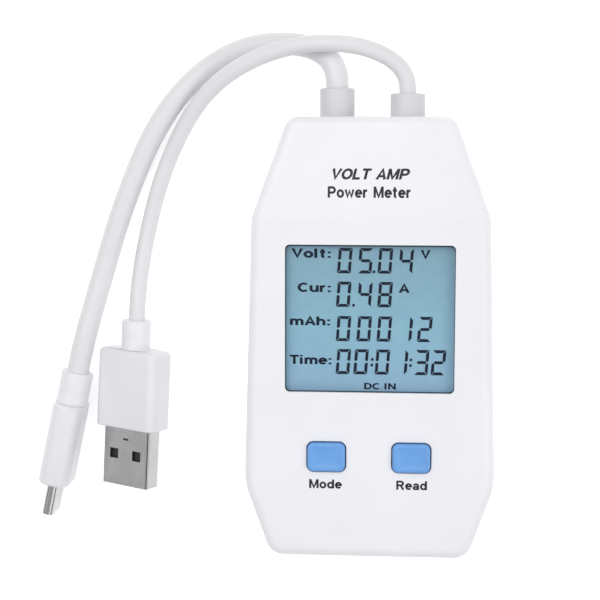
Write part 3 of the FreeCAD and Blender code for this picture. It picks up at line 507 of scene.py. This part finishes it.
def add_stroke(build, path, half, high, lean):
    """A closed flat ribbon along a path, from the ground up to a height."""
    left, right, closed = stroke_sides(path, half)
    rows = []
    for side_left, side_right in zip(left, right):
        corners = ((side_left, 0.0), (side_right, 0.0), (side_right, high), (side_left, high))
        rows.append([build.verts.new((side.x + lean * side.y, side.y, height))
                     for side, height in corners])
    skin(build, rows, closed)
    if not closed:
        build.faces.new(rows[0])
        build.faces.new(rows[-1])


def words_mesh(name, words, width, cap_height, weight, lean=0.0):
    """Words as thin plates centred on the origin, fitted to a width and a capital's height."""
    build = bmesh.new()
    start = 0.0
    for letter in words:
        letter_width, strokes = LETTERS[letter]
        for number, path in enumerate(strokes):
            moved = [(start + x, y) for x, y in path]
            add_stroke(build, moved, weight / 2, 1.0 + STROKE_LAYER * number, lean)
        start += letter_width + LETTER_SPACE
    xs = [vertex.co.x for vertex in build.verts]
    middle, across = (max(xs) + min(xs)) / 2, width / (max(xs) - min(xs))
    for vertex in build.verts:
        vertex.co = Vector(((vertex.co.x - middle) * across, (vertex.co.y - 0.5) * cap_height,
                            vertex.co.z * PRINT_THICKNESS))
    return finish_mesh(name, build)


# --- cords and plugs ----------------------------------------------------------------------

def make_cord(name, node, route, diameter, materials):
    curve = bpy.data.curves.new(name, "CURVE")
    curve.dimensions = "3D"
    curve.bevel_depth = diameter / 2
    curve.bevel_resolution = 8
    curve.resolution_u = 12
    curve.use_fill_caps = True
    spline = curve.splines.new("NURBS")
    spline.points.add(len(route) - 1)
    for point, place in zip(spline.points, route):
        point.co = (*place, 1.0)
    spline.order_u = 3
    spline.use_endpoint_u = True
    curve.materials.append(materials["cord_jacket"])
    cord = bpy.data.objects.new(name, curve)
    bpy.context.scene.collection.objects.link(cord)
    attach(cord, "case")
    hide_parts(node)
    return cord


def plug_frame(route, normal):
    """The plug's own frame at the end of its cord: Z to the tip, Y out of its wide face."""
    end, before = Vector(route[-1]), Vector(route[-2])
    ahead = (end - before).normalized()
    across = normal.cross(ahead).normalized()
    out = ahead.cross(across)
    turn = Matrix((across, out, ahead)).transposed().to_4x4()
    return Matrix.Translation(end) @ turn


def quarter_turn(steps):
    """Angles from 0 to 90 degrees."""
    return [math.radians(90) * step / steps for step in range(steps + 1)]


def make_grip(letter, placement, sizes, materials):
    """A moulded grip: a round neck that flares into the shoulders of a rounded block."""
    grip = Grip(*(size * MM for size in sizes))
    neck, radius, end = grip.neck, grip.neck_radius, grip.neck + grip.length

    def block(distance, inset):
        corner = max(grip.corner - inset, GRIP_MIN_CORNER)
        ring = rounded_rectangle(grip.width - 2 * inset, grip.thick - 2 * inset, corner, ROUNDING_STEPS)
        return [placement @ Vector((x, y, distance)) for x, y in ring]

    def circle(distance, size):
        ring = rounded_rectangle(2 * size, 2 * size, size, ROUNDING_STEPS)
        return [placement @ Vector((x, y, distance)) for x, y in ring]

    rings = [circle(distance, radius + change) for distance, change in (
        (0.0, -0.75 * MM), (0.0, -0.35 * MM), (0.12 * MM, -0.1 * MM), (0.4 * MM, 0.0),
        (neck / 2, -0.01 * radius), (neck - 0.25 * MM, 0.0), (neck, 0.12 * MM))]
    rings += [block(neck + grip.shoulder * (1 - math.cos(angle)), grip.shoulder * (1 - math.sin(angle)))
              for angle in quarter_turn(6)]
    rings.append(block(neck + grip.length / 2, 0.0))
    rings += [block(end - grip.rim * (1 - math.sin(angle)), grip.rim * (1 - math.cos(angle)))
              for angle in quarter_turn(4)]
    name = f"plug_{letter}_grip_skin"
    piece = add_piece(name, solid_mesh(name, [rings], sharp_angle=55), materials["grip_plastic"])
    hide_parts(f"plug_{letter}_grip")
    return piece


def make_leads(materials):
    cord_c = make_cord("thick_cord", "cord_c", CORD_C_ROUTE, CORD_C_DIAMETER, materials)
    cord_a = make_cord("thin_cord", "cord_a", CORD_A_ROUTE, CORD_A_DIAMETER, materials)
    frame_c = plug_frame(CORD_C_ROUTE, Vector((1, 0, 0)))
    frame_a = plug_frame(CORD_A_ROUTE, Vector((-math.sin(PLUG_A_ROLL), 0, math.cos(PLUG_A_ROLL))))
    grip_c = make_grip("c", frame_c, GRIP_C, materials)
    grip_a = make_grip("a", frame_a, GRIP_A, materials)
    fold = make_shell_fold(frame_a, materials)


def make_shell_fold(placement, materials):
    """The joint line along one corner of the shell, a small slot by the grip, and two dark plates of
    painted shade under the latch windows, where the springs sit."""
    start = (GRIP_A.neck + GRIP_A.length) * MM
    face = SHELL_THICK / 2

    def laid_flat(outline, side, distance, height):
        """An outline laid along the shell's upper face, at a height from the plug's axis."""
        return [(side + x, height, start + distance + z) for x, z in outline]

    def joint_line(radius, angles):
        """Points on an arc about the centre of the shell's rounded corner."""
        return [(SHELL_WIDTH / 2 - SHELL_CORNER + radius * math.cos(math.radians(angle)),
                 face - SHELL_CORNER + radius * math.sin(math.radians(angle))) for angle in angles]

    section = (joint_line(SHELL_CORNER + 0.015 * MM, range(33, 58, 4))
               + joint_line(SHELL_CORNER - 0.1 * MM, range(57, 32, -4)))
    slot = rounded_rectangle(*SLOT_SIZES, steps=4)
    window_shade = rounded_rectangle(*WINDOW_SHADE_SIZES, steps=3)
    solids = [[[(x, y, start + along) for x, y in section] for along in (0.0, SHELL_LENGTH)],
              [laid_flat(slot, 0.0, SLOT_DISTANCE, face + lift * MM) for lift in (-0.05, 0.012)]]
    solids += [[laid_flat(window_shade, side * WINDOW_SHADE_OFFSET, WINDOW_SHADE_DISTANCE, height)
                for height in WINDOW_SHADE_HEIGHTS] for side in (-1, 1)]
    mesh = solid_mesh("plug_a_shell_fold", solids)
    mesh.transform(placement)
    return add_piece("plug_a_shell_fold", mesh, materials["shadow_gap"])


# --- display ------------------------------------------------------------------------------

SEGMENTS = {
    "0": "abcdef", "1": "ef", "2": "abdeg", "3": "abcdg", "4": "bcfg", "5": "acdfg", "8": "abcdefg",
}
DIGIT_WIDTH = 2.84 * MM
DIGIT_HEIGHT = 5.26 * MM
STROKE = 0.61 * MM
SEGMENT_GAP = 0.09 * MM
DIGIT_LEAN = math.tan(math.radians(4.3))
DOT = 0.52 * MM
DOT_HEIGHT = 0.1 * MM
COLON_HEIGHTS = (1.7 * MM, 2.9 * MM)
SEGMENT_THICKNESS = 0.06 * MM
LEGEND_WEIGHT = 0.22
# Each row: distance of its top from the window's upper edge, and its digits by distance from
# the window's left edge. Dots and colons stand between the digits.
READOUT = [
    (0.78, [("0", 10.7), ("5", 15.0), (".", 18.1), ("0", 19.1), ("4", 23.4)]),
    (7.8, [("0", 10.5), (".", 13.9), ("4", 14.9), ("8", 19.1)]),
    (15.0, [("0", 10.5), ("0", 14.8), ("0", 19.0), ("1", 25.6), ("2", 27.4)]),
    (21.95, [("0", 10.5), ("0", 14.2), (":", 17.65), ("0", 18.65), ("1", 24.7), (":", 25.7),
             ("3", 26.8), ("2", 30.3)]),
]
# Words: text, distance of the left end, width, distance of the capitals' top, their height.
LEGENDS = [
    ("Volt:", 1.2, 8.2, 0.95, 1.9), ("Cur:", 2.5, 6.9, 8.1, 1.9), ("mAh:", 0.9, 8.4, 15.15, 1.85),
    ("Time:", 0.9, 8.7, 23.3, 1.9), ("V", 28.0, 2.0, 1.1, 1.8), ("A", 23.5, 2.3, 8.2, 1.8),
    ("DC IN", 16.5, 6.6, 29.05, 1.3),
]


def segment_outlines():
    """The seven bars of a digit with mitred ends, in a frame with the origin at its foot."""
    width, height, bar, gap = DIGIT_WIDTH, DIGIT_HEIGHT, STROKE, SEGMENT_GAP
    middle = height / 2
    near, far = gap, bar + gap
    top = [(near, height), (width - near, height), (width - far, height - bar), (far, height - bar)]
    upper_left = [(0, height - near), (bar, height - far), (bar, middle + bar * 0.55),
                  (bar * 0.35, middle + gap * 1.6), (0, middle + bar * 0.5)]
    centre = [(bar * 0.6, middle), (bar + gap, middle + bar / 2), (width - bar - gap, middle + bar / 2),
              (width - bar * 0.6, middle), (width - bar - gap, middle - bar / 2),
              (bar + gap, middle - bar / 2)]

    def across(points):
        return [(width - x, y) for x, y in points]

    def down(points):
        return [(x, height - y) for x, y in points]

    return {"a": top, "d": down(top), "f": upper_left, "b": across(upper_left), "e": down(upper_left),
            "c": down(across(upper_left)), "g": centre}


def leaned(points, left, foot):
    return [(left + x + DIGIT_LEAN * y, foot + y) for x, y in points]


def square(height):
    """A dot of the display that starts at a height above the digits' foot."""
    return [(0, height), (DOT, height), (DOT, height + DOT), (0, height + DOT)]


def mark_outlines(mark, bars):
    """The outlines that a digit, dot or colon is made of."""
    if mark == ".":
        return [square(DOT_HEIGHT)]
    if mark == ":":
        return [square(height) for height in COLON_HEIGHTS]
    return [bars[name] for name in SEGMENTS[mark]]


def make_display(materials):
    glass_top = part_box("lcd_glass")[1].z
    low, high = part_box("display_window")
    left, upper = low.x + WINDOW_BORDER, high.y - WINDOW_BORDER
    bars = segment_outlines()
    outlines = []
    for row_top, marks in READOUT:
        foot = upper - row_top * MM - DIGIT_HEIGHT
        for mark, distance in marks:
            outlines += [leaned(outline, left + distance * MM, foot)
                         for outline in mark_outlines(mark, bars)]
    mesh = plates("lcd_segments", outlines, glass_top, glass_top + SEGMENT_THICKNESS)
    add_piece("lcd_segments", mesh, materials["segment"])
    for number, (words, start, width, top, cap) in enumerate(LEGENDS, start=1):
        mesh = words_mesh(f"lcd_legend_{number}", words, width * MM, cap * MM, LEGEND_WEIGHT)
        centre = Vector((left + (start + width / 2) * MM, upper - (top + cap / 2) * MM, glass_top))
        mesh.transform(Matrix.Translation(centre))
        add_piece(f"lcd_legend_{number}", mesh, materials["segment"])


def make_window_shadow_ring(materials):
    """A dark ring of painted shade under the lens, which shows most along the window's upper edge."""
    low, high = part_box("display_window")
    centre = (low + high) / 2
    bottom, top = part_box("lcd_glass")[1].z, low.z
    width, length = high.x - low.x - WINDOW_SHADOW_CLEARANCE, high.y - low.y - WINDOW_SHADOW_CLEARANCE
    outer = rounded_rectangle(width, length, WINDOW_SHADOW_CORNERS[0])
    inner = rounded_rectangle(width - 2 * WINDOW_BORDER, length - 2 * WINDOW_BORDER - WINDOW_SHADOW_TRIM,
                              WINDOW_SHADOW_CORNERS[1])
    inner = [(x, y + WINDOW_SHADOW_SHIFT) for x, y in inner]
    build = bmesh.new()
    loops = [[build.verts.new((centre.x + x, centre.y + y, height)) for x, y in outline]
             for outline, height in ((outer, bottom), (outer, top), (inner, top), (inner, bottom))]
    skin(build, loops, closed=True)
    add_piece("lens_shadow_ring", finish_mesh("lens_shadow_ring", build), materials["window_shadow_ring"])


# --- print on the case --------------------------------------------------------------------

def face_height(y):
    """Height of the front face at a distance along the case."""
    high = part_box("front_cover")[1]
    beyond = max(0.0, y - SHOULDER_Y)
    return high.z - RAMP_DROP * beyond / (high.y - SHOULDER_Y)


def make_print(materials):
    # Name, words, centre, width, capitals' height, stroke's weight and lean.
    labels = [
        ("title_print", "VOLT AMP", 0.1, 34.5, 15.9, 2.2, 0.22, 0.22),
        ("subtitle_print", "Power Meter", -0.3, 30.8, 17.0, 2.3, 0.21, 0.0),
        ("mode_print", "Mode", -9.0, -30.3, 6.9, 1.9, 0.21, 0.0),
        ("read_print", "Read", 9.0, -30.3, 6.4, 1.9, 0.21, 0.0),
    ]
    for name, words, x, y, width, cap, weight, lean in labels:
        mesh = words_mesh(name, words, width * MM, cap * MM, weight, lean)
        for vertex in mesh.vertices:
            vertex.co.x += x * MM
            vertex.co.y += y * MM
            vertex.co.z += face_height(vertex.co.y) - PRINT_THICKNESS / 3
        add_piece(name, mesh, materials["ink"])


# --- buttons ------------------------------------------------------------------------------

def make_button(node, body, materials):
    """A soft cap: a flange, upright sides, a rounded rim and a shallow dish on top."""
    low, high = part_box(node)
    centre = (low + high) / 2
    width, length = high.x - low.x, high.y - low.y
    flange_top = low.z + BUTTON_FLANGE_HEIGHT
    profile = [(0.0, low.z), (0.0, flange_top), (BUTTON_FLANGE, flange_top)]
    profile += [(BUTTON_FLANGE + BUTTON_RIM * (1 - math.cos(angle)),
                 high.z - BUTTON_RIM * (1 - math.sin(angle))) for angle in quarter_turn(6)]
    profile += [(BUTTON_FLANGE + inset * MM, high.z - drop * MM) for inset, drop in BUTTON_DISH]
    rings = []
    for inset, height in profile:
        # The flange's corners are rounder than the sides', and the dish's get tighter inwards.
        past_flange = inset - BUTTON_FLANGE
        radius = BUTTON_CORNER - past_flange * (0.6 if past_flange > 0 else 0.3)
        radius = max(radius, BUTTON_MIN_CORNER)
        ring = rounded_rectangle(width - 2 * inset, length - 2 * inset, radius)
        rings.append([(centre.x + x, centre.y + y, height) for x, y in ring])
    mesh = solid_mesh(node + "_cap", [rings], sharp_angle=50)
    piece = add_piece(node + "_cap", mesh, materials["button_plastic"], body)
    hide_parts(node)


# --- surroundings -------------------------------------------------------------------------

def make_floor(materials):
    build = bmesh.new()
    build.faces.new([build.verts.new((x * FLOOR_HALF, y * FLOOR_HALF, -FLOOR_DROP))
                     for x, y in ((-1, -1), (1, -1), (1, 1), (-1, 1))])
    mesh = finish_mesh("floor", build)
    mesh.materials.append(materials["floor"])
    floor = bpy.data.objects.new("floor", mesh)
    bpy.context.scene.collection.objects.link(floor)


def area_light(name, place, aim, width, height, power):
    data = bpy.data.lights.new(name, "AREA")
    data.shape = "RECTANGLE"
    data.size = width
    data.size_y = height
    data.energy = power
    lamp = bpy.data.objects.new(name, data)
    lamp.location = place
    lamp.rotation_mode = "QUATERNION"
    lamp.rotation_quaternion = (Vector(aim) - Vector(place)).to_track_quat("-Z", "Y")
    bpy.context.scene.collection.objects.link(lamp)


def make_light():
    """A soft studio: a sky that is dark just above the horizon and bright halfway up, and two
    area lights."""
    world = bpy.data.worlds.new("studio")
    world.use_nodes = True
    nodes, links = world.node_tree.nodes, world.node_tree.links
    split = nodes.new("ShaderNodeSeparateXYZ")
    ramp = nodes.new("ShaderNodeValToRGB")
    place = nodes.new("ShaderNodeTexCoord")
    greys = [(0.0, 0.6), (0.07, 0.5), (0.14, 0.1), (0.32, 0.2), (0.45, 0.95), (0.65, 0.95), (0.8, 0.6),
             (1.0, 0.6)]
    fill_ramp(ramp.color_ramp, [(height, (grey, grey, grey * 1.01, 1)) for height, grey in greys])
    links.new(place.outputs["Generated"], split.inputs["Vector"])
    links.new(split.outputs["Z"], ramp.inputs["Fac"])
    links.new(ramp.outputs["Color"], nodes["Background"].inputs["Color"])
    nodes["Background"].inputs["Strength"].default_value = 0.88
    bpy.context.scene.world = world
    area_light("key", (-0.2, 0.3, 0.66), (0, 0, 0), 0.55, 0.4, 2.45)
    area_light("fill", (0.45, -0.1, 0.5), (0, 0, 0), 0.5, 0.5, 1.2)
    bpy.context.scene.view_settings.view_transform = "Standard"


def main():
    make_camera()
    materials = make_materials()
    dress_cad_nodes(materials)
    make_leads(materials)
    make_display(materials)
    make_window_shadow_ring(materials)
    make_print(materials)
    make_button("mode_button", "mode_key", materials)
    make_button("read_button", "read_key", materials)
    make_floor(materials)
    make_light()


main()
